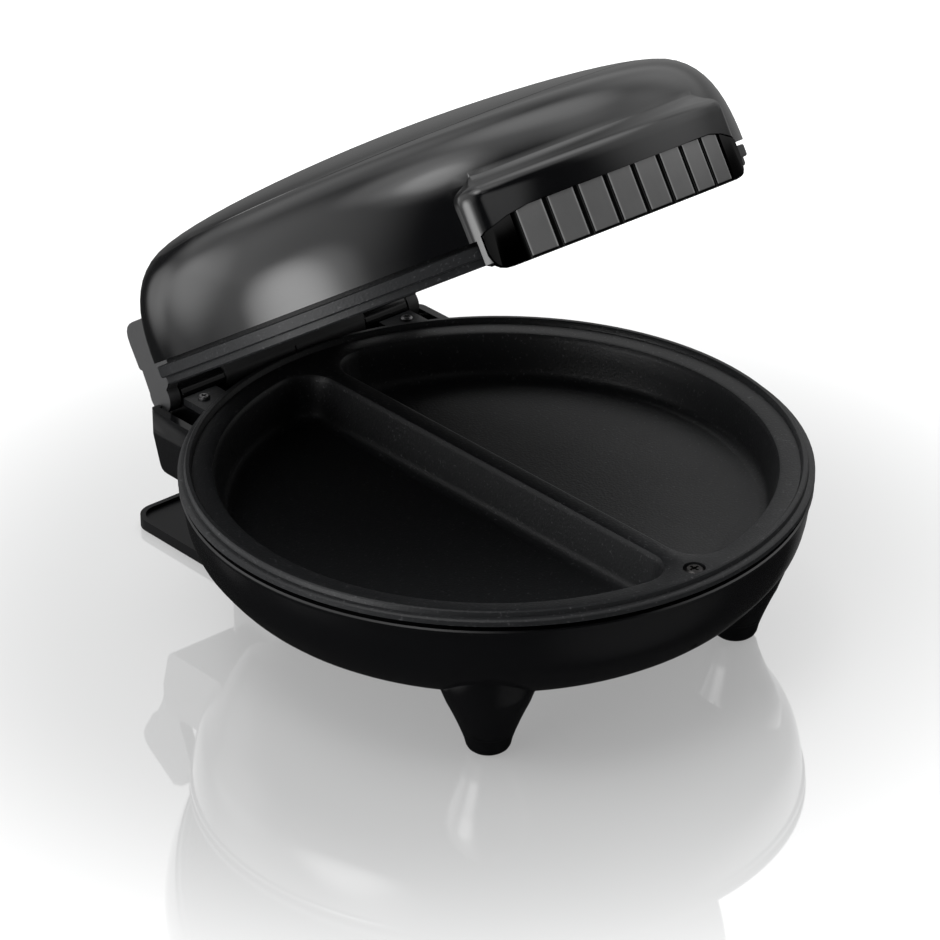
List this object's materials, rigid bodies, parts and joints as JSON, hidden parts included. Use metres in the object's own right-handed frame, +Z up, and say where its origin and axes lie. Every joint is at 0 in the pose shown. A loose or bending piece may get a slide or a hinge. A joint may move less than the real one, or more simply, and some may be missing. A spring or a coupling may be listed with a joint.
{
  "type": "electric omelette maker",
  "caption": "Round electric omelette maker: half-moon pockets in both heated plates, a domed lid on a rear hinge and a ribbed front grip.",
  "frame": {"origin": "on the table, under the middle of the whole footprint from the front of the bowl to the back of the rear stand, on the centre line", "axes": "+Z up, handle towards -Y, hinge towards +Y, hinge axis along X"},
  "size_m": [0.21, 0.241, 0.2053],
  "materials": {
    "gloss_black": "glossy moulded plastic",
    "nonstick_lower": "matte dark non-stick coating",
    "heater_tube": "satin tube",
    "reflector_sheet": "bright sheet",
    "zinc_screw": "zinc plated",
    "black_screw": "blackened",
    "bright_screw": "bright plated",
    "thermostat_body": "satin",
    "fuse_case": "satin",
    "terminal_white": "matte",
    "gland_rubber": "matte",
    "pin_steel": "satin",
    "gloss_black_lid": "glossy moulded plastic",
    "gloss_black_panel": "glossy moulded plastic",
    "matte_black": "matte moulded plastic",
    "nonstick_upper": "matte dark non-stick coating",
    "grip_black": "semi-gloss moulded plastic",
    "red_lens": "clear-tinted",
    "green_lens": "clear-tinted",
    "lamp_glass": "clear"
  },
  "bodies": {
    "base": {"base_housing": "gloss_black", "lower_plate": "nonstick_lower", "lower_heater": "heater_tube", "lower_reflector": "reflector_sheet", "lower_reflector_screw": "zinc_screw", "lower_front_screw": "black_screw", "lower_rear_screws": "bright_screw", "thermostat": "thermostat_body", "thermal_fuse": "fuse_case", "terminal_block": "terminal_white", "cord_gland": "gland_rubber", "hinge_pin": "pin_steel"},
    "lid": {"lid_cover": "gloss_black_lid", "lid_panel": "gloss_black_panel", "lid_frame": "matte_black", "upper_plate": "nonstick_upper", "upper_heater": "heater_tube", "upper_reflector": "reflector_sheet", "upper_reflector_screw": "zinc_screw", "upper_plate_screws": "black_screw", "handle_grip": "grip_black", "power_lens": "red_lens", "ready_lens": "green_lens", "indicator_lamps": "lamp_glass"}
  },
  "joints": [
    {"name": "lid_hinge", "type": "hinge", "parent": "base", "child": "lid", "pos_m": [0, 0.0941, 0.061], "axis": [-1, 0, 0], "range_deg": [-32.5, 67.5]}
  ]
}
